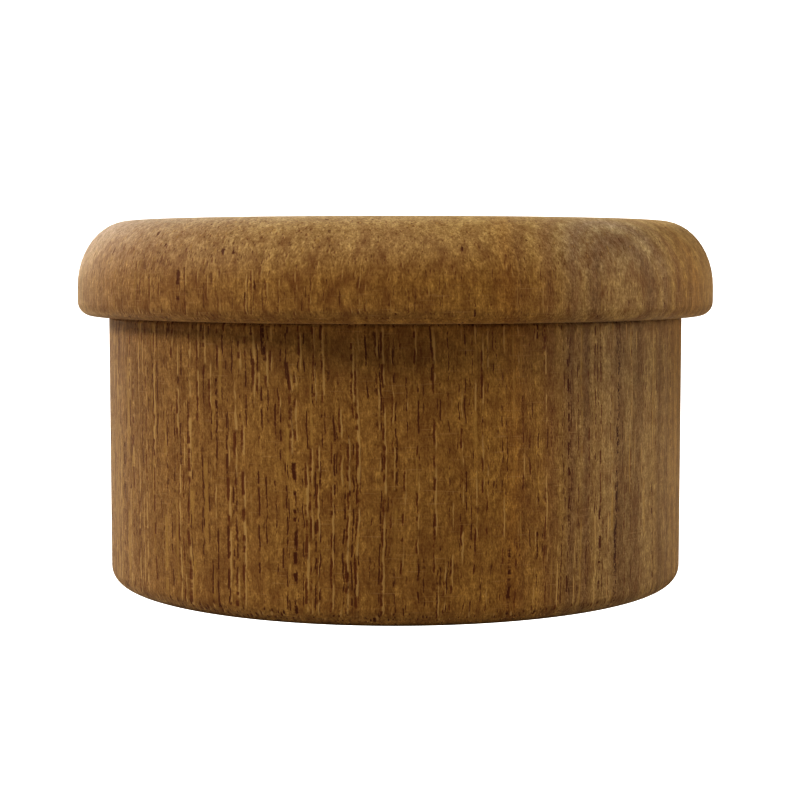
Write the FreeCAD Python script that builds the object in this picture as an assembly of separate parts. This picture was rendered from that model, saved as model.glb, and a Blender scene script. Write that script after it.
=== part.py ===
"""Round turned-wood needle case: a cup, a plug-fit lid, a magnet under felt in each, and the needles.

Millimetres. The origin is the centre of the foot on the table, +Z is the turning axis, and -Y is the front.
"""

import FreeCAD, Part
import math
import os

from FreeCAD import Vector

# Case body: a cup turned from one block.
body_diameter = 50.0
body_height = 23.2
wall_thickness = 4.0
floor_thickness = 5.0
foot_round = 1.5
rim_round = 0.4
cavity_corner_round = 0.8

# The foot is relieved, so that the case stands on a ring.
foot_ring_width = 5.0
foot_relief_depth = 0.6
foot_relief_slope = 0.8

# Lid: a cap that overhangs the body, with a hollow plug below it that fits the body's mouth.
lid_overhang = 2.65
lid_thickness = 8.1
lid_side_height = 2.45
lid_shoulder_in = 4.5
lid_edge_round = 1.2
lid_ceiling_thickness = 5.2
plug_length = 4.0
plug_wall_thickness = 3.0
plug_clearance = 0.08
plug_lead_in = 0.5

# Disc magnets, glued flush into blind pockets.
base_magnet_diameter = 20.0
lid_magnet_diameter = 15.0
magnet_thickness = 2.0
magnet_edge_round = 0.25
magnet_clearance = 0.1

# Felt discs, glued over the magnets.
felt_thickness = 1.2
felt_clearance = 0.3

# Needles: the diameter of the shank, the length of the tapered point, the diameter of the tip, the width
# of the head, the width and length of the eye, and what the outermost needle leaves at each end to the wall.
# A lay is one needle on the felt: its place across the row, its shift along the row, how far its end
# drifts across the row, and the way its eye points.
SHARPS = dict(
    shank=0.76, taper=7.0, tip=0.10, head=0.92, eye_width=0.40, eye_length=1.5, end_gap=1.5,
    lays=[(-9.0, -0.6, 0.6, 1), (-6.7, 1.2, 0.4, -1), (6.6, -0.8, -0.6, -1), (8.9, 0.7, -0.8, 1)],
)
EMBROIDERY = dict(
    shank=0.84, taper=7.5, tip=0.12, head=1.10, eye_width=0.50, eye_length=3.0, end_gap=2.0,
    lays=[(-4.4, -0.7, -0.2, 1), (-0.2, 0.9, 0.3, 1), (4.4, 0.3, -0.3, 1)],
)
TAPESTRY = dict(
    shank=1.05, taper=4.0, tip=0.55, head=1.60, eye_width=0.80, eye_length=4.6, end_gap=2.5,
    lays=[(-2.2, 1.1, 0.5, -1), (2.0, -1.0, -0.4, -1)],
)
needle_row_turn = 24.0
needle_gap = 0.02

# As parts of the shank's diameter: how thick a needle's head is pressed, and how open the press is at the
# shank.
head_pressed_to = 0.84
press_clearance = 1.04

# Places that follow from the sizes above.
body_radius = body_diameter / 2
bore_radius = body_radius - wall_thickness
lid_radius = body_radius + lid_overhang
lid_top = body_height + lid_thickness
plug_radius = bore_radius - plug_clearance
plug_bottom = body_height - plug_length
hollow_radius = plug_radius - plug_wall_thickness
ceiling = lid_top - lid_ceiling_thickness
lid_shoulder_down = lid_thickness - lid_side_height
foot_relief_radius = body_radius - foot_round - foot_ring_width
felt_top = floor_thickness + felt_thickness


def on_axis(radius, height):
    """A point of a turned outline: its distance from the turning axis, and its height."""
    return Vector(radius, 0, height)


def rounding(before, corner, after):
    """The curve that rounds a corner: an arc if it takes as much off both sides, else a quarter ellipse."""
    one, other = before - corner, after - corner
    half_angle = (math.pi - one.getAngle(other)) / 2
    curve = Part.BezierCurve()
    curve.setPoles([before, corner, after])
    curve.setWeight(2, math.cos(half_angle))
    if abs(one.Length - other.Length) > 1e-6:
        return curve.toShape()
    middle = curve.value(0.5)
    return Part.Arc(before, middle, after).toShape()


def outline(corners):
    """A closed face from corners (radius, height, rounding). A rounding is a length, or one for each side."""
    points = [on_axis(c[0], c[1]) for c in corners]
    ends = []
    for i, corner in enumerate(corners):
        taken = corner[2] if len(corner) > 2 else 0
        before_length, after_length = taken if isinstance(taken, tuple) else (taken, taken)
        to_before = (points[i - 1] - points[i]).normalize()
        to_after = (points[(i + 1) % len(points)] - points[i]).normalize()
        ends.append((points[i] + to_before * before_length, points[i] + to_after * after_length))
    edges = []
    for i, (before, after) in enumerate(ends):
        if before.distanceToPoint(after) > 1e-6:
            edges.append(rounding(before, points[i], after))
        following = ends[(i + 1) % len(ends)][0]
        if after.distanceToPoint(following) > 1e-6:
            edges.append(Part.LineSegment(after, following).toShape())
    return Part.Face(Part.Wire(edges))


def turned(corners):
    """The solid that an outline makes as it spins about the turning axis."""
    spun = outline(corners).revolve(Vector(0, 0, 0), Vector(0, 0, 1), 360)
    return Part.Solid(spun) if spun.ShapeType == "Shell" else spun.Solids[0]


def case_body():
    pocket_radius = base_magnet_diameter / 2 + magnet_clearance
    pocket_bottom = floor_thickness - magnet_thickness
    return turned([
        (0, foot_relief_depth),
        (foot_relief_radius - foot_relief_slope, foot_relief_depth),
        (foot_relief_radius, 0),
        (body_radius, 0, foot_round),
        (body_radius, body_height, rim_round),
        (bore_radius, body_height, rim_round),
        (bore_radius, floor_thickness, cavity_corner_round),
        (pocket_radius, floor_thickness),
        (pocket_radius, pocket_bottom),
        (0, pocket_bottom),
    ])


def lid():
    pocket_radius = lid_magnet_diameter / 2 + magnet_clearance
    pocket_top = ceiling + magnet_thickness
    return turned([
        (0, lid_top),
        (0, pocket_top),
        (pocket_radius, pocket_top),
        (pocket_radius, ceiling),
        (hollow_radius, ceiling, cavity_corner_round),
        (hollow_radius, plug_bottom, rim_round),
        (plug_radius, plug_bottom, plug_lead_in),
        (plug_radius, body_height),
        (lid_radius, body_height, lid_edge_round),
        (lid_radius, lid_top, (lid_shoulder_down, lid_shoulder_in)),
    ])


def disc(diameter, bottom, thickness, edge_round=0.0):
    """A flat disc on the turning axis, with its edges rounded if edge_round is given."""
    radius = diameter / 2
    return turned([
        (0, bottom),
        (radius, bottom, edge_round),
        (radius, bottom + thickness, edge_round),
        (0, bottom + thickness),
    ])


def base_magnet():
    return disc(base_magnet_diameter, floor_thickness - magnet_thickness, magnet_thickness, magnet_edge_round)


def lid_magnet():
    return disc(lid_magnet_diameter, ceiling, magnet_thickness, magnet_edge_round)


def base_felt():
    radius = bore_radius - cavity_corner_round - felt_clearance
    return disc(2 * radius, floor_thickness, felt_thickness)


def lid_felt():
    radius = hollow_radius - cavity_corner_round - felt_clearance
    return disc(2 * radius, ceiling - felt_thickness, felt_thickness)


def needle_length(sort):
    """The length that fits across the cavity where the outermost needle of its sort lies."""
    outermost = max(abs(across) for across, along, drift, way in sort["lays"])
    return 2 * (math.sqrt(bore_radius ** 2 - outermost ** 2) - sort["end_gap"])


def head_places(sort):
    """Where along a needle its head starts, and where the head is widest."""
    head_length = sort["eye_length"] + 2 * sort["head"]
    head_start = needle_length(sort) / 2 - head_length
    return head_start, head_start + head_length / 2


def round_needle(sort):
    """A needle before its head is pressed: along +X, with its middle at the origin."""
    start, end = -needle_length(sort) / 2, needle_length(sort) / 2
    shank_radius, tip_radius, head_radius = sort["shank"] / 2, sort["tip"] / 2, sort["head"] / 2
    head_start, widest = head_places(sort)

    tip_start = Vector(start, 0, 0)
    tip_bend = Vector(start + tip_radius * (1 - math.sqrt(0.5)), tip_radius * math.sqrt(0.5), 0)
    tip_end = Vector(start + tip_radius, tip_radius, 0)
    point_end = Vector(start + sort["taper"], shank_radius, 0)
    shank_end = Vector(head_start, shank_radius, 0)
    head_side = Vector(widest, head_radius, 0)
    head_end = Vector(end, 0, 0)

    point = Part.BezierCurve()
    point.setPoles([tip_end, Vector(start + 0.55 * sort["taper"], shank_radius, 0), point_end])
    middle = (head_start + widest) / 2
    swell = Part.BezierCurve()
    swell.setPoles([shank_end, Vector(middle, shank_radius, 0), Vector(middle, head_radius, 0), head_side])
    side_bend = Vector(widest + 0.7 * (end - widest), head_radius, 0)
    crown = Part.BezierCurve()
    crown.setPoles([head_side, side_bend, Vector(end, 0.6 * head_radius, 0), head_end])
    wire = Part.Wire([
        Part.Arc(tip_start, tip_bend, tip_end).toShape(),
        point.toShape(),
        Part.LineSegment(point_end, shank_end).toShape(),
        swell.toShape(),
        crown.toShape(),
        Part.LineSegment(head_end, tip_start).toShape(),
    ])
    return Part.Face(wire).revolve(Vector(0, 0, 0), Vector(1, 0, 0), 360).Solids[0]


def press(sort):
    """The space that a needle's head is pressed into: it closes in from above and below up to the eye."""
    length, head = needle_length(sort), sort["head"]
    open_half, closed_half = press_clearance * sort["shank"] / 2, head_pressed_to * sort["shank"] / 2
    head_start, widest = head_places(sort)
    corners = [(-length, open_half), (head_start, open_half), (widest, closed_half), (length, closed_half)]
    corners += [(x, -z) for x, z in reversed(corners)]
    side = Part.makePolygon([Vector(x, -head, z) for x, z in corners + corners[:1]])
    return Part.Face(side).extrude(Vector(0, 2 * head, 0))


def eye(sort):
    """The slot that is punched through a needle's head."""
    radius, height = sort["eye_width"] / 2, 2 * sort["shank"]
    far = needle_length(sort) / 2 - 0.75 * sort["head"]
    near = far - sort["eye_length"]
    far_left, far_right = Vector(far - radius, radius, 0), Vector(far - radius, -radius, 0)
    near_left, near_right = Vector(near + radius, radius, 0), Vector(near + radius, -radius, 0)
    slot = Part.Wire([
        Part.LineSegment(near_right, far_right).toShape(),
        Part.Arc(far_right, Vector(far, 0, 0), far_left).toShape(),
        Part.LineSegment(far_left, near_left).toShape(),
        Part.Arc(near_left, Vector(near, 0, 0), near_right).toShape(),
    ])
    slot.translate(Vector(0, 0, -height / 2))
    return Part.Face(slot).extrude(Vector(0, 0, height))


def needle(sort):
    """One needle along +X, with its middle at the origin and its eye upright, at the +X end."""
    return round_needle(sort).common(press(sort)).cut(eye(sort)).Solids[0]


def needles(sort):
    """Needles of one sort, as they lie in their row on the felt."""
    height = felt_top + press_clearance * sort["shank"] / 2 + needle_gap
    group = []
    for across, along, drift, way in sort["lays"]:
        turn = math.degrees(math.atan2(drift, needle_length(sort) / 2)) + (0 if way > 0 else 180)
        one = needle(sort)
        one.rotate(Vector(0, 0, 0), Vector(0, 0, 1), turn)
        one.translate(Vector(along, across, height))
        one.rotate(Vector(0, 0, 0), Vector(0, 0, 1), needle_row_turn)
        group.append(one)
    return Part.makeCompound(group)


parts = {
    "case_body": case_body(),
    "base_magnet": base_magnet(),
    "base_felt": base_felt(),
    "lid": lid(),
    "lid_magnet": lid_magnet(),
    "lid_felt": lid_felt(),
    "sharps": needles(SHARPS),
    "embroidery_needles": needles(EMBROIDERY),
    "tapestry_needles": needles(TAPESTRY),
}

os.makedirs("parts", exist_ok=True)
for name, shape in parts.items():
    shape.exportStep(f"parts/{name}.step")
    box = shape.optimalBoundingBox(True, False)
    sizes = f"{box.XLength:.2f} x {box.YLength:.2f} x {box.ZLength:.2f}"
    print(f"{name}: {len(shape.Solids)} solids, {sizes} mm, {shape.Volume:.1f} mm3, valid {shape.isValid()}")
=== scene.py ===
"""A round needle case turned from teak: a cup and a plug-fit lid, a magnet and felt in each, and needles."""

import math
import random

import bmesh
import bpy
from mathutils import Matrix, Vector, noise


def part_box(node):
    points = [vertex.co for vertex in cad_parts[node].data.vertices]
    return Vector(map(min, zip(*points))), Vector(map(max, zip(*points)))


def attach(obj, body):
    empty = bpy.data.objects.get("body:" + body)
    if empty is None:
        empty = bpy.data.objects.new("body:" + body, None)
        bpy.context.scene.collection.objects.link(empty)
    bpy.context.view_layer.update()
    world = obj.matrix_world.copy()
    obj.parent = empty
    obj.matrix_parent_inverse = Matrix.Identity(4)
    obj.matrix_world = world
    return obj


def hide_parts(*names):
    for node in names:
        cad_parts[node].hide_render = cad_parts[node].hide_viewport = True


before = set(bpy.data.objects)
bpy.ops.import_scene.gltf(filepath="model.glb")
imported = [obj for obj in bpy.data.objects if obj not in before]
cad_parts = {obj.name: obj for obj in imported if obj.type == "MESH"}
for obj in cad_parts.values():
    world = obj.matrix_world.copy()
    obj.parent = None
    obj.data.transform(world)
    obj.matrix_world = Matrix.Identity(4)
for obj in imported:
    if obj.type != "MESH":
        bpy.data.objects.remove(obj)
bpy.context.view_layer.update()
MM = 0.001


# --- Case body ---------------------------------------------------------------------------------------
# A cup turned from one block of teak with its grain upright, then sanded by hand and left with a thin oil.
# Its mouth is bored to take the lid's plug, and its floor has a shallow pocket for the magnet.

foot_round = 1.5 * MM
rim_round = 0.4 * MM
wall = 4.0 * MM
floor_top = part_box("base_felt")[0][2]
cavity_round = 0.8 * MM
foot_ring = 5.0 * MM
foot_relief = 0.6 * MM
foot_slope = 0.8 * MM
pocket_gap = 0.1 * MM

LATHE_STEPS = 240
CORNER_SEGMENTS = 12

# The centre of the growth rings in each piece, as X and Y in mm. Both lie outside the wood, in front of it
# and to the right. The lid's lies further forward than the cup's.
CUP_PITH = (20.0, -17.6)
LID_PITH = (20.6, -24.5)

# The colour of the wood by its distance from the pith, in mm: grey-tan heart with brown rings, a golden band,
# plain brown, then red-brown towards the bark.
RING_COLOURS = [
    (0.0, "#a48556"), (1.5, "#a88a5a"), (2.25, "#8a6a42"), (3.0, "#a78859"), (5.0, "#a88856"),
    (5.75, "#8a6942"), (6.5, "#aa8a57"), (7.25, "#95744a"), (8.5, "#aa874f"), (9.25, "#997342"),
    (10.5, "#a88246"), (11.75, "#966f3a"), (12.5, "#a67c3f"), (14.0, "#a57e42"), (21.0, "#a57e45"),
    (30.0, "#a37d45"), (40.0, "#9d7746"), (45.0, "#a47e50"), (50.0, "#ac885a"),
]


def turned(name, corners):
    """A lathe-turned piece from its section: corners are (radius, height, rounding), going round the section.

    A rounding is a radius, or the two half-axes (across, down) of a quarter ellipse."""
    bm = bmesh.new()
    section = bm.faces.new([bm.verts.new((radius, 0, height)) for radius, height, rounding in corners])
    for corner, (radius, height, rounding) in zip(list(section.verts), corners):
        if rounding:
            across, down = rounding if isinstance(rounding, tuple) else (rounding, rounding)
            bmesh.ops.scale(bm, vec=(1, 1, across / down), verts=bm.verts[:])
            bmesh.ops.bevel(bm, geom=[corner], offset=across, offset_type="OFFSET", affect="VERTICES",
                            segments=CORNER_SEGMENTS, profile=0.5, material=-1)
            bmesh.ops.scale(bm, vec=(1, 1, down / across), verts=bm.verts[:])
    return spun(name, bm)


def spun(name, bm):
    """Turns a section in the XZ plane about Z into a closed, smooth piece."""
    on_axis = [e for e in bm.edges if all(abs(v.co.x) < 1e-9 for v in e.verts)]
    bmesh.ops.delete(bm, geom=bm.faces[:], context="FACES_ONLY")
    bmesh.ops.delete(bm, geom=on_axis, context="EDGES")
    bmesh.ops.spin(bm, geom=bm.verts[:] + bm.edges[:], cent=(0, 0, 0), axis=(0, 0, 1),
                   angle=2 * math.pi, steps=LATHE_STEPS, use_merge=True, use_duplicate=False)
    bmesh.ops.remove_doubles(bm, verts=bm.verts[:], dist=1e-7)
    bmesh.ops.recalc_face_normals(bm, faces=bm.faces[:])
    for face in bm.faces:
        face.smooth = True
    mesh = bpy.data.meshes.new(name)
    bm.to_mesh(mesh)
    bm.free()
    piece = bpy.data.objects.new(name, mesh)
    bpy.context.scene.collection.objects.link(piece)
    return piece


def node(material, kind, inputs=None, **settings):
    """Adds a shader node. An input is a number, a colour, or another node's socket to link from."""
    tree = material.node_tree
    added = tree.nodes.new("ShaderNode" + kind)
    for name, value in settings.items():
        setattr(added, name, value)
    for name, value in (inputs or {}).items():
        if isinstance(value, bpy.types.NodeSocket):
            tree.links.new(value, added.inputs[name])
        else:
            added.inputs[name].default_value = value
    return added


def linear(srgb):
    """The linear colour of an sRGB hex value."""
    parts = [int(srgb[i:i + 2], 16) / 255 for i in (1, 3, 5)]
    return tuple(p / 12.92 if p <= 0.04045 else ((p + 0.055) / 1.055) ** 2.4 for p in parts) + (1.0,)


def new_material(name):
    """A material with no nodes in it yet."""
    material = bpy.data.materials.new(name)
    material.use_nodes = True
    material.node_tree.nodes.clear()
    return material


def bent_grain(m, in_mm):
    """The way the grain runs: it sways over the height of the block, and shivers over 3 mm and under 1 mm."""
    # Each bend: its width and height in mm, its detail, and how far it swings the grain, in mm.
    bends = (
        (20.0, 33.0, 1.0, 2.2),
        (2.6, 3.4, 2.0, 0.36),
        (0.6, 0.8, 1.0, 0.16),
    )
    grain = in_mm
    for width, height, detail, swing in bends:
        at = node(m, "Mapping", {"Vector": in_mm, "Scale": (1 / width, 1 / width, 1 / height)}).outputs[0]
        bend = node(m, "TexNoise", {"Vector": at, "Scale": 1.0, "Detail": detail}).outputs["Color"]
        centred = node(m, "VectorMath", {0: bend, 1: (0.5, 0.5, 0.5)}, operation="SUBTRACT").outputs[0]
        grain = node(m, "VectorMath", {0: centred, 1: (swing, swing, 0.0), 2: grain},
                     operation="MULTIPLY_ADD").outputs[0]
    return grain


def ring_colour(m, radius):
    """The base colour of the wood at a distance from the pith."""
    reach = RING_COLOURS[-1][0]
    across = node(m, "Math", {0: radius, 1: reach}, operation="DIVIDE").outputs[0]
    bands = node(m, "ValToRGB", {"Fac": across})
    ramp = bands.color_ramp
    for distance, colour in RING_COLOURS[1:-1]:
        ramp.elements.new(distance / reach)
    for element, (distance, colour) in zip(ramp.elements, RING_COLOURS):
        element.position = distance / reach
        element.color = linear(colour)
    return bands.outputs["Color"]


def fibre_tone(m, grain, radius):
    """How much denser or looser wood shades the colour, about 1: growth rings, fibres and clouds."""
    ring = node(m, "TexNoise", {"W": radius, "Scale": 0.65, "Detail": 2.0},
                noise_dimensions="1D").outputs["Fac"]
    tone = node(m, "MapRange", {"Value": ring, "From Min": 0.3, "From Max": 0.7,
                                "To Min": 0.94, "To Max": 1.06}).outputs[0]

    # Each layer: its width and height in mm, its detail, and how much it shades.
    layers = (
        (2.4, 9.0, 1.0, 0.07),
        (0.7, 5.0, 2.0, 0.17),
        (0.38, 0.55, 2.0, 0.26),
        (0.16, 0.7, 2.0, 0.26),
        (0.11, 0.20, 1.0, 0.26),
        (1.8, 0.09, 1.0, 0.05),
    )
    for width, height, detail, strength in layers:
        at = node(m, "Mapping", {"Vector": grain, "Scale": (1 / width, 1 / width, 1 / height)}).outputs[0]
        fibre = node(m, "TexNoise", {"Vector": at, "Scale": 1.0, "Detail": detail}).outputs["Fac"]
        shade = node(m, "MapRange", {"Value": fibre, "From Min": 0.25, "From Max": 0.75,
                                     "To Min": 1 - strength, "To Max": 1 + strength}).outputs[0]
        tone = node(m, "Math", {0: tone, 1: shade}, operation="MULTIPLY").outputs[0]
    return tone


def end_grain_and_painted_top_sheen(m, colour, facing):
    """Faces that look up are paler and greyer than the sides: partly the end grain's own colour, partly a
    painted sheen of the light from above.
    """
    # Painted sheen: faces that look up are lifted towards a paler, greyer colour, as the light from above
    # would show them.
    end_grain_and_sheen = node(m, "MapRange", {"Value": facing, "From Min": 0.1, "From Max": 0.9,
                                     "To Max": 0.65}).outputs[0]
    paler = node(m, "VectorMath", {0: colour, 1: (1.36, 1.76, 3.1)}, operation="MULTIPLY").outputs[0]
    return node(m, "Mix", {"Factor": end_grain_and_sheen, "A": colour, "B": paler},
                data_type="RGBA").outputs["Result"]


def oiled_and_scratched(m, colour, in_mm, facing, blotches):
    """Browner blotches where oil went deeper, and on the sides pale scratches that the sanding left."""
    off_top = node(m, "MapRange", {"Value": facing, "From Min": 0.5, "From Max": 1.0,
                                   "To Min": 1.0, "To Max": 0.4}).outputs[0]
    on_side = node(m, "MapRange", {"Value": facing, "From Min": 0.3, "From Max": 0.0}).outputs[0]

    # Each mark: width, depth and height in mm, detail, the range it shows in, colour, strength and place.
    marks = (
        ((1.1, 1.1, 1.7), 3.0, 0.44, 0.74, "#7b4e22", blotches, off_top),
        ((2.2, 2.2, 0.11), 1.0, 0.66, 0.74, "#bd9a6c", 0.35, on_side),
    )
    for size, detail, begins, full, tint, strength, where in marks:
        at = node(m, "Mapping", {"Vector": in_mm, "Scale": [1 / length for length in size]}).outputs[0]
        mark = node(m, "TexNoise", {"Vector": at, "Scale": 1.0, "Detail": detail}).outputs["Fac"]
        mark = node(m, "MapRange", {"Value": mark, "From Min": begins, "From Max": full,
                                    "To Max": strength}).outputs[0]
        mark = node(m, "Math", {0: mark, 1: where}, operation="MULTIPLY").outputs[0]
        colour = node(m, "Mix", {"Factor": mark, "A": colour, "B": linear(tint)},
                      data_type="RGBA").outputs["Result"]
    return colour


def cut_vessels(m, colour, height_mm, level, upright, denser, open_grain, openness):
    """Upright vessels, cut lengthwise into dashes in one line, and across into dots on the lid's shoulder.

    Gives back the colour and the height of the surface with them in it."""
    # Each kind: spacing of the vessels and length of a dash in mm, thickness and a shift to one side in
    # spacings, how much of each line shows, colour, its strength, and how high it stands in mm.
    vessels = (
        (1.00, 5.0, 0.28, (5.3, 1.7), 0.54, "#bd9857", 0.50, 0.0),
        (0.36, 1.4, 0.28, (2.9, 8.1), 0.57, "#6b3e1c", 1.0, -0.008),
        # The pale kind is a copy of the dark kind below it, shifted to one side of each pore: partly pale
        # tissue round the pore, partly a painted highlight on the lit wall of the groove.
        (0.54, 3.0, 0.30, (0.24, -0.06), 0.58, "#cca970", 0.68, 0.001),
        (0.54, 1.8, 0.31, (0.0, 0.0), 0.52, "#713e17", 0.85, -0.004),
        (1.90, 1.3, 0.16, (1.1, 0.4), 0.50, "#653611", 1.5, -0.015),
    )
    for spacing, length, thickness, shift, shown, tint, strength, stands in vessels:
        at = node(m, "Mapping", {"Vector": level, "Location": (-shift[0], -shift[1], 0.0),
                                 "Scale": (1 / spacing, 1 / spacing, 1.0)}).outputs[0]
        vessel = node(m, "TexVoronoi", {"Vector": at, "Scale": 1.0}, voronoi_dimensions="2D")
        pick = node(m, "SeparateColor", {"Color": vessel.outputs["Color"]}).outputs

        # Its thickness varies from one to the next, and its edge frays with the density of the wood.
        size = node(m, "MapRange", {"Value": pick["Red"], "To Min": 0.4 * thickness,
                                    "To Max": thickness}).outputs[0]
        size = node(m, "Math", {0: size, 1: open_grain}, operation="MULTIPLY").outputs[0]
        frayed = node(m, "Math", {0: denser, 1: 0.35 * thickness, 2: vessel.outputs["Distance"]},
                      operation="MULTIPLY_ADD").outputs[0]
        inside = node(m, "MapRange", {"Value": frayed, "From Min": size, "From Max": 0.0,
                                      "To Max": 2.4}).outputs[0]
        inside = node(m, "Math", {0: inside, 1: 1.0}, operation="MINIMUM").outputs[0]

        # It comes and goes along its length, and starts at a different place from the next one.
        start = node(m, "Math", {0: pick["Green"], 1: 97.0}, operation="MULTIPLY").outputs[0]
        along = node(m, "Math", {0: upright, 1: 1 / length, 2: start}, operation="MULTIPLY_ADD").outputs[0]
        dash = node(m, "TexNoise", {"W": along, "Scale": 1.0, "Detail": 4.0},
                    noise_dimensions="1D").outputs["Fac"]
        dash = node(m, "MapRange", {"Value": dash, "From Min": 0.97 - shown,
                                    "From Max": 1.05 - shown}).outputs[0]
        inside = node(m, "Math", {0: inside, 1: dash}, operation="MULTIPLY").outputs[0]

        cover = node(m, "Math", {0: inside, 1: min(1.0, strength * openness)},
                     operation="MULTIPLY").outputs[0]
        colour = node(m, "Mix", {"Factor": cover, "A": colour, "B": linear(tint)},
                      data_type="RGBA").outputs["Result"]
        height_mm = node(m, "Math", {0: inside, 1: stands, 2: height_mm},
                         operation="MULTIPLY_ADD").outputs[0]
    return colour, height_mm


def heart_shake(m, colour, level, upright, radius, tone):
    """A shake in the heart: a thin, broken crack that runs out from the pith and dies out below the lid."""
    apart = node(m, "SeparateXYZ", {"Vector": level}).outputs["Y"]
    apart = node(m, "Math", {0: apart}, operation="ABSOLUTE").outputs[0]
    crack = node(m, "MapRange", {"Value": apart, "From Min": 0.17, "From Max": 0.05}).outputs[0]
    for value, none, full in ((radius, 4.0, 3.2), (upright, 22.5, 20.0), (tone, 1.15, 0.85)):
        there = node(m, "MapRange", {"Value": value, "From Min": none, "From Max": full}).outputs[0]
        crack = node(m, "Math", {0: crack, 1: there}, operation="MULTIPLY").outputs[0]
    return node(m, "Mix", {"Factor": crack, "A": colour, "B": linear("#522a0c")},
                data_type="RGBA").outputs["Result"]


def sanded_teak(name, openness, blotches, pith):
    """Teak, sanded and thinly oiled, which gives a dull, silky brown: rings round the pith, upright fibres,
    and open pores that the sander cut.

    The openness is how much of the pores the sanding left open, and blotches how strongly the oil shows. Both
    are from 0 to 1."""
    m = new_material(name)
    place = node(m, "TexCoord").outputs

    # Both pieces of wood are measured in mm from the cup's pith, so the grain runs on from one to the other.
    in_mm = node(m, "Mapping", {"Vector": place["Object"], "Location": (-CUP_PITH[0], -CUP_PITH[1], 0.0),
                                "Scale": (1 / MM, 1 / MM, 1 / MM)}).outputs[0]
    facing = node(m, "SeparateXYZ", {"Vector": place["Normal"]}).outputs["Z"]

    # The grain as its place on a level cut through the block, its height, and its distance from the pith.
    grain = bent_grain(m, in_mm)
    level = node(m, "VectorMath", {0: grain, 1: (1, 1, 0)}, operation="MULTIPLY").outputs[0]
    upright = node(m, "SeparateXYZ", {"Vector": grain}).outputs["Z"]
    centre = (pith[0] - CUP_PITH[0], pith[1] - CUP_PITH[1], 0.0)
    radius = node(m, "VectorMath", {0: level, 1: centre}, operation="DISTANCE").outputs["Value"]

    # Dense wood takes more out of blue and green than out of red: dark fibres are redder, pale ones yellower.
    tone = fibre_tone(m, grain, radius)
    denser = node(m, "Math", {0: tone, 1: 1.0}, operation="SUBTRACT").outputs[0]
    tint = node(m, "VectorMath", {0: denser, 1: (0.80, 1.0, 1.30), 2: (1, 1, 1)},
                operation="MULTIPLY_ADD").outputs[0]
    colour = node(m, "VectorMath", {0: ring_colour(m, radius), 1: tint}, operation="MULTIPLY").outputs[0]
    # Faces that look up get a painted sheen along with the end grain's paleness.
    colour = end_grain_and_painted_top_sheen(m, colour, facing)
    colour = oiled_and_scratched(m, colour, in_mm, facing, blotches)

    # How open the wood is: few pores near the pith and in the middle, many towards the bark.
    open_grain = node(m, "MapRange", {"Value": radius, "From Min": 7.5, "From Max": 45.0,
                                      "To Min": 0.6 * openness, "To Max": 1.25 * openness},
                      interpolation_type="SMOOTHSTEP").outputs[0]
    fibre_height = node(m, "Math", {0: tone, 1: 0.03}, operation="MULTIPLY").outputs[0]
    colour, height_mm = cut_vessels(m, colour, fibre_height, level, upright, denser, open_grain, openness)
    colour = heart_shake(m, colour, level, upright, radius, tone)

    bump = node(m, "Bump", {"Height": height_mm, "Distance": MM, "Strength": 1.0})
    surface = node(m, "BsdfPrincipled", {"Base Color": colour, "Roughness": 0.6, "Specular IOR Level": 0.4,
                                         "Sheen Weight": 0.35, "Sheen Roughness": 0.45,
                                         "Sheen Tint": linear("#ffe6c0"), "Normal": bump.outputs["Normal"]})
    node(m, "OutputMaterial", {"Surface": surface.outputs["BSDF"]})
    return m


body_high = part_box("case_body")[1]
body_radius, body_top = body_high[0], body_high[2]
bore = body_radius - wall
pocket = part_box("base_magnet")[1][0] + pocket_gap
pocket_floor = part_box("base_magnet")[0][2]
relief = body_radius - foot_round - foot_ring
cup = turned("turned_cup", [
    (0, foot_relief, 0),
    (relief - foot_slope, foot_relief, 0),
    (relief, 0, 0),
    (body_radius, 0, foot_round),
    (body_radius, body_top, rim_round),
    (bore, body_top, rim_round),
    (bore, floor_top, cavity_round),
    (pocket, floor_top, 0),
    (pocket, pocket_floor, 0),
    (0, pocket_floor, 0),
])
cup.data.materials.append(sanded_teak("sanded_teak", openness=1.0, blotches=0.48, pith=CUP_PITH))
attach(cup, "case")
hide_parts("case_body")


# --- Base magnet -------------------------------------------------------------------------------------
# A neodymium disc, nickel plated, glued into the pocket in the floor of the cup. It keeps the needles from
# spilling when the case is tipped.


def nickel_plate():
    """Bright nickel plate on a ground disc: even and mirror-like, clouded a little by handling."""
    m = new_material("nickel_plate")
    place = node(m, "TexCoord").outputs["Object"]
    clouds = node(m, "TexNoise", {"Vector": place, "Scale": 1 / (3.0 * MM), "Detail": 4.0}).outputs["Fac"]
    roughness = node(m, "MapRange", {"Value": clouds, "To Min": 0.16, "To Max": 0.32}).outputs[0]
    colour = node(m, "Mix", {"Factor": clouds, "A": linear("#c9c5bb"), "B": linear("#b9b4a9")},
                  data_type="RGBA").outputs["Result"]
    grinding = node(m, "TexNoise", {"Vector": place, "Scale": 1 / (0.15 * MM), "Detail": 2.0}).outputs["Fac"]
    bump = node(m, "Bump", {"Height": grinding, "Distance": 0.002 * MM})
    surface = node(m, "BsdfPrincipled", {"Base Color": colour, "Metallic": 1.0, "Roughness": roughness,
                                         "Normal": bump.outputs["Normal"]})
    node(m, "OutputMaterial", {"Surface": surface.outputs["BSDF"]})
    return m


plate = nickel_plate()
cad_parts["base_magnet"].material_slots[0].material = plate


# --- Base felt ---------------------------------------------------------------------------------------
# A disc punched from moss-green pressed wool felt and glued over the magnet. The needles lie on it, so that
# they don't rattle, and a fingertip can lift one by its end.

felt_round = 0.35 * MM
felt_dent = 0.03 * MM
dent_width = 1.1 * MM
small_dent_width = 0.4 * MM
fibre_thickness = 0.03 * MM
fibre_half_lengths = (0.35 * MM, 0.85 * MM)
bare_edge = 0.9 * MM
FELT_RINGS = 60
LOOSE_FIBRES = 420


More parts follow.
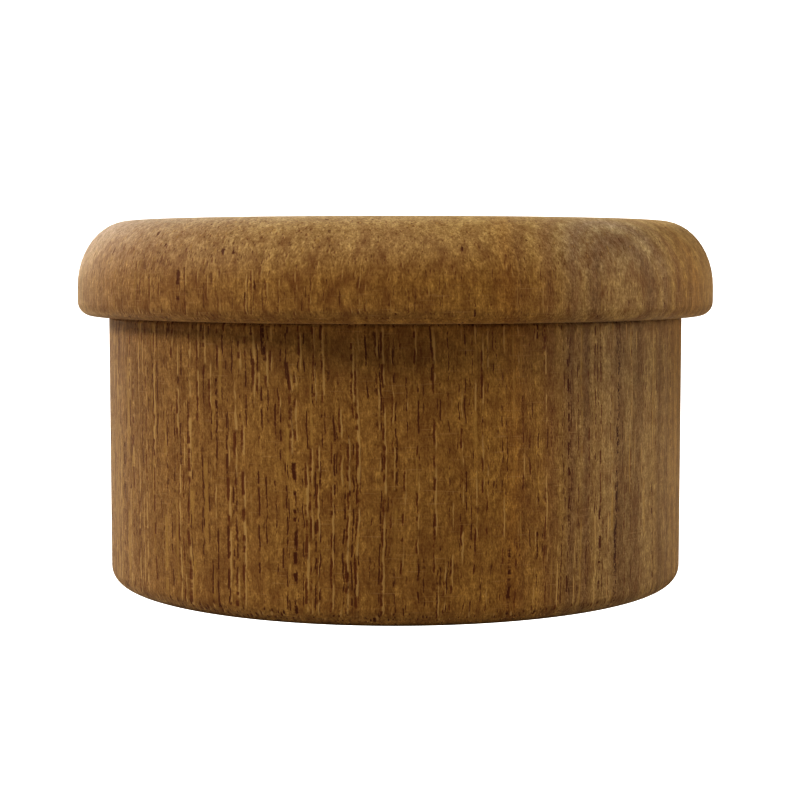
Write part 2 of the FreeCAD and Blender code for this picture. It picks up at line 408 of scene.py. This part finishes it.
def pressed_wool(name):
    """Pressed wool felt, moss green: matted fibres of mixed greens, dull, with a soft bloom at low angles."""
    m = new_material(name)
    place = node(m, "TexCoord").outputs["Object"]
    in_mm = node(m, "Mapping", {"Vector": place, "Scale": (1 / MM, 1 / MM, 1 / MM)}).outputs[0]

    # Wool is 0.03 mm thick, too fine to see here, so the matted strands are drawn about 0.15 mm wide.
    bend = node(m, "TexNoise", {"Vector": in_mm, "Scale": 1.6, "Detail": 3.0}).outputs["Color"]
    wandering = node(m, "VectorMath", {0: bend, 1: (2.6, 2.6, 2.6), 2: in_mm},
                     operation="MULTIPLY_ADD").outputs[0]
    height = 0.0
    colour = linear("#43542e")

    # Each layer: the size of its strands in mm, and their green.
    layers = (
        ((0.9, 0.16, 0.5), "#2c3a1e"),
        ((0.16, 0.9, 0.5), "#5b6e3e"),
        ((0.6, 0.22, 0.16), "#77895a"),
    )
    for size, tint in layers:
        at = node(m, "Mapping", {"Vector": wandering, "Scale": [1 / length for length in size]}).outputs[0]
        strand = node(m, "TexNoise", {"Vector": at, "Scale": 1.0, "Detail": 2.0}).outputs["Fac"]
        on_top = node(m, "MapRange", {"Value": strand, "From Min": 0.48, "From Max": 0.66}).outputs[0]
        cover = node(m, "Math", {0: on_top, 1: 0.6}, operation="MULTIPLY").outputs[0]
        colour = node(m, "Mix", {"Factor": cover, "A": colour, "B": linear(tint)},
                      data_type="RGBA").outputs["Result"]
        height = node(m, "Math", {0: on_top, 1: 0.06, 2: height}, operation="MULTIPLY_ADD").outputs[0]
    bump = node(m, "Bump", {"Height": height, "Distance": MM})
    surface = node(m, "BsdfPrincipled", {"Base Color": colour, "Roughness": 0.95, "Specular IOR Level": 0.1,
                                         "Sheen Weight": 0.5, "Sheen Roughness": 0.5,
                                         "Sheen Tint": linear("#a9bb84"), "Normal": bump.outputs["Normal"]})
    node(m, "OutputMaterial", {"Surface": surface.outputs["BSDF"]})
    return m


def felt_disc(name, cad_node):
    """A felt disc in the place of its CAD node, with soft edges and a surface that is never quite flat."""
    low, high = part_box(cad_node)
    radius = high[0]
    across = [radius * ring / FELT_RINGS for ring in range(FELT_RINGS)]
    top = [(r, high[2], 0) for r in across]
    edge = [(radius, high[2], felt_round), (radius, low[2], felt_round)]
    underside = [(r, low[2], 0) for r in reversed(across)]
    disc = turned(name, top + edge + underside)
    inwards = [-vertex.normal for vertex in disc.data.vertices]
    for vertex, inward in zip(disc.data.vertices, inwards):
        dent = noise.noise(vertex.co / dent_width) + 0.6 * noise.noise(vertex.co / small_dent_width)
        vertex.co += inward * felt_dent * (1 + dent)
    return disc


def felt_fuzz(name, cad_node, face, seed):
    """Loose wool fibres that lie on one face of a felt disc: thin threads, each bowed to one side."""
    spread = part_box(cad_node)[1][0] - bare_edge
    chance = random.Random(seed)
    threads = bpy.data.curves.new(name, "CURVE")
    threads.dimensions = "3D"
    threads.bevel_depth = fibre_thickness / 2
    threads.bevel_resolution = 0
    threads.use_fill_caps = True
    for _ in range(LOOSE_FIBRES):
        out = spread * math.sqrt(chance.random())
        turn = chance.uniform(0, math.tau)
        heading = chance.uniform(0, math.tau)
        middle = Vector((out * math.cos(turn), out * math.sin(turn), face))
        along = Vector((math.cos(heading), math.sin(heading), 0)) * chance.uniform(*fibre_half_lengths)
        aside = Vector((-along.y, along.x, 0)) * chance.uniform(-0.5, 0.5)
        thread = threads.splines.new("POLY")
        thread.points.add(6)
        for point, t in zip(thread.points, (-1, -0.67, -0.33, 0, 0.33, 0.67, 1)):
            point.co = (middle + along * t + aside * (1 - t * t)).to_4d()
    drawn = bpy.data.objects.new(name + "_threads", threads)
    fuzz = bpy.data.objects.new(name, bpy.data.meshes.new_from_object(drawn))
    bpy.data.objects.remove(drawn)
    bpy.context.scene.collection.objects.link(fuzz)
    return fuzz


wool = pressed_wool("pressed_wool_felt")
base_disc = felt_disc("base_felt_disc", "base_felt")
base_fuzz = felt_fuzz("base_felt_fuzz", "base_felt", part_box("base_felt")[1][2], seed=5)
for piece in (base_disc, base_fuzz):
    piece.data.materials.append(wool)
    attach(piece, "case")
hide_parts("base_felt")


# --- Needles -----------------------------------------------------------------------------------------
# Sharps, embroidery needles and blunt tapestry needles, drawn from steel wire, their eyes stamped and their
# shanks nickel plated and polished. They lie loose on the felt over the magnet.

# The needles lie side by side, turned this far from the X axis.
row_turn = math.radians(24.0)
polish_width = 0.03 * MM
polish_length = 2.5 * MM


def polished_needle():
    """Nickel-plated steel polished along its length: bright, with fine lines that stretch each highlight."""
    m = new_material("polished_needle_steel")
    place = node(m, "TexCoord").outputs["Object"]
    along = node(m, "Mapping", {"Vector": place, "Rotation": (0, 0, row_turn),
                                "Scale": (polish_length, polish_width, polish_width)},
                 vector_type="TEXTURE").outputs[0]
    lines = node(m, "TexNoise", {"Vector": along, "Scale": 1.0, "Detail": 2.0}).outputs["Fac"]
    roughness = node(m, "MapRange", {"Value": lines, "To Min": 0.20, "To Max": 0.42}).outputs[0]
    colour = node(m, "Mix", {"Factor": lines, "A": linear("#d3d2cf"), "B": linear("#b9b8b4")},
                  data_type="RGBA").outputs["Result"]
    bump = node(m, "Bump", {"Height": lines, "Distance": 0.001 * MM})
    surface = node(m, "BsdfPrincipled", {"Base Color": colour, "Metallic": 1.0, "Roughness": roughness,
                                         "Normal": bump.outputs["Normal"]})
    node(m, "OutputMaterial", {"Surface": surface.outputs["BSDF"]})
    return m


needle_steel = polished_needle()
for sort in ("sharps", "embroidery_needles", "tapestry_needles"):
    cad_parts[sort].material_slots[0].material = needle_steel


# --- Lid ---------------------------------------------------------------------------------------------
# A cap turned from the same block and put on with the grain lined up. It overhangs the cup as a finger grip,
# and a hollow plug under it fits the cup's mouth. Its shoulder is a large quarter ellipse.

shoulder_in = 4.5 * MM
side_height = 2.45 * MM
edge_round = 1.2 * MM
plug_wall = 3.0 * MM
plug_gap = 0.08 * MM
plug_lead = 0.5 * MM

lid_low, lid_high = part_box("lid")
lid_radius, lid_top = lid_high[0], lid_high[2]
plug = bore - plug_gap
hollow = plug - plug_wall
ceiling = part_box("lid_felt")[1][2]
lid_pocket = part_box("lid_magnet")[1][0] + pocket_gap
lid_pocket_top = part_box("lid_magnet")[1][2]
shoulder_down = lid_top - body_top - side_height
cap = turned("turned_lid", [
    (0, lid_top, 0),
    (0, lid_pocket_top, 0),
    (lid_pocket, lid_pocket_top, 0),
    (lid_pocket, ceiling, 0),
    (hollow, ceiling, cavity_round),
    (hollow, lid_low[2], rim_round),
    (plug, lid_low[2], plug_lead),
    (plug, body_top, 0),
    (lid_radius, body_top, edge_round),
    (lid_radius, lid_top, (shoulder_in, shoulder_down)),
])
cap.data.materials.append(sanded_teak("fine_sanded_teak", openness=0.65, blotches=0.64, pith=LID_PITH))
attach(cap, "lid")
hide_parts("lid")


# --- Lid magnet --------------------------------------------------------------------------------------
# A smaller disc of the same kind, glued into the ceiling, so that the upturned lid is a tray for the needles.

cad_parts["lid_magnet"].material_slots[0].material = plate


# --- Lid felt ----------------------------------------------------------------------------------------
# A felt disc from the same sheet, glued over the lid's magnet. It faces down into the case.

lid_disc = felt_disc("lid_felt_disc", "lid_felt")
lid_fuzz = felt_fuzz("lid_felt_fuzz", "lid_felt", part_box("lid_felt")[0][2], seed=11)
for piece in (lid_disc, lid_fuzz):
    piece.data.materials.append(wool)
    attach(piece, "lid")
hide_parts("lid_felt")


# --- Stage, light and camera -------------------------------------------------------------------------
# A plain white floor, seen from above only, in a dim room with four soft boxes: one high in front, a small
# one at the left that draws the lid's shadow on the cup, a low one at the right, and a large one behind.

FLOOR_GAP = 0.02 * MM
FLOOR_RADIUS = 6.0
FLOOR_GREY = 0.65
ROOM_LIGHT = 0.09
WHITE = (1.0, 1.0, 1.0, 1.0)


def paper_floor():
    """A wide disc just under the foot: plain white to the eye, grey to the light, and clear from below."""
    bm = bmesh.new()
    bmesh.ops.create_circle(bm, cap_ends=True, radius=FLOOR_RADIUS, segments=64)
    mesh = bpy.data.meshes.new("floor")
    bm.to_mesh(mesh)
    bm.free()
    floor = bpy.data.objects.new("floor", mesh)
    floor.location.z = -FLOOR_GAP
    bpy.context.scene.collection.objects.link(floor)

    m = new_material("white_paper")
    white = node(m, "Emission", {"Color": WHITE, "Strength": 1.0}).outputs[0]
    grey = node(m, "BsdfDiffuse", {"Color": (FLOOR_GREY, FLOOR_GREY, FLOOR_GREY, 1.0)}).outputs[0]
    seen = node(m, "LightPath").outputs["Is Camera Ray"]
    above = node(m, "MixShader", {"Fac": seen, 1: grey, 2: white}).outputs[0]
    below = node(m, "NewGeometry").outputs["Backfacing"]
    clear = node(m, "BsdfTransparent").outputs[0]
    paper = node(m, "MixShader", {"Fac": below, 1: above, 2: clear}).outputs[0]
    node(m, "OutputMaterial", {"Surface": paper})
    floor.data.materials.append(m)
    return floor


def dim_room():
    """A room that lights the case evenly and faintly, and is plain white behind it."""
    world = bpy.data.worlds.new("room")
    world.use_nodes = True
    world.node_tree.nodes.clear()
    bpy.context.scene.world = world
    room = node(world, "Background", {"Color": WHITE, "Strength": ROOM_LIGHT}).outputs[0]
    beyond = node(world, "Background", {"Color": WHITE, "Strength": 1.0}).outputs[0]
    seen = node(world, "LightPath").outputs["Is Camera Ray"]
    mixed = node(world, "MixShader", {"Fac": seen, 1: room, 2: beyond}).outputs[0]
    node(world, "OutputWorld", {"Surface": mixed})


def soft_box(name, azimuth, elevation, size, power, distance=0.55):
    """A square soft box facing the case. Azimuth is in degrees from the front, positive to the right."""
    light = bpy.data.lights.new(name, "AREA")
    light.size = size
    light.energy = power
    lamp = bpy.data.objects.new(name, light)
    turn, lift = math.radians(azimuth), math.radians(elevation)
    away = Vector((math.sin(turn) * math.cos(lift), -math.cos(turn) * math.cos(lift), math.sin(lift)))
    lamp.location = away * distance + Vector((0, 0, body_top / 2))
    lamp.rotation_euler = away.to_track_quat("Z", "Y").to_euler()
    bpy.context.scene.collection.objects.link(lamp)


paper_floor()
dim_room()
soft_box("front_light", azimuth=8, elevation=63, size=0.18, power=0.77)
soft_box("left_light", azimuth=-76, elevation=32, size=0.13, power=0.90)
soft_box("right_light", azimuth=84, elevation=14, size=0.24, power=0.70)
soft_box("back_light", azimuth=-149, elevation=26, size=0.50, power=1.24)

EYE_DISTANCE = 163.5 * MM
EYE_HEIGHT = 28.0 * MM
EYE_RIGHT = 0.4 * MM
LOOKS_DOWN = 4.35
LENS = 83.2
SENSOR_WIDTH = 36.0

camera = bpy.data.objects.new("camera", bpy.data.cameras.new("camera"))
camera.data.lens = LENS
camera.data.sensor_width = SENSOR_WIDTH
camera.data.clip_start = 0.01
camera.location = (EYE_RIGHT, -EYE_DISTANCE, EYE_HEIGHT)
camera.rotation_euler = (math.radians(90 - LOOKS_DOWN), 0, 0)
bpy.context.scene.collection.objects.link(camera)
bpy.context.scene.camera = camera
bpy.context.scene.view_settings.view_transform = "Standard"
bpy.context.scene.view_settings.look = "Very High Contrast"
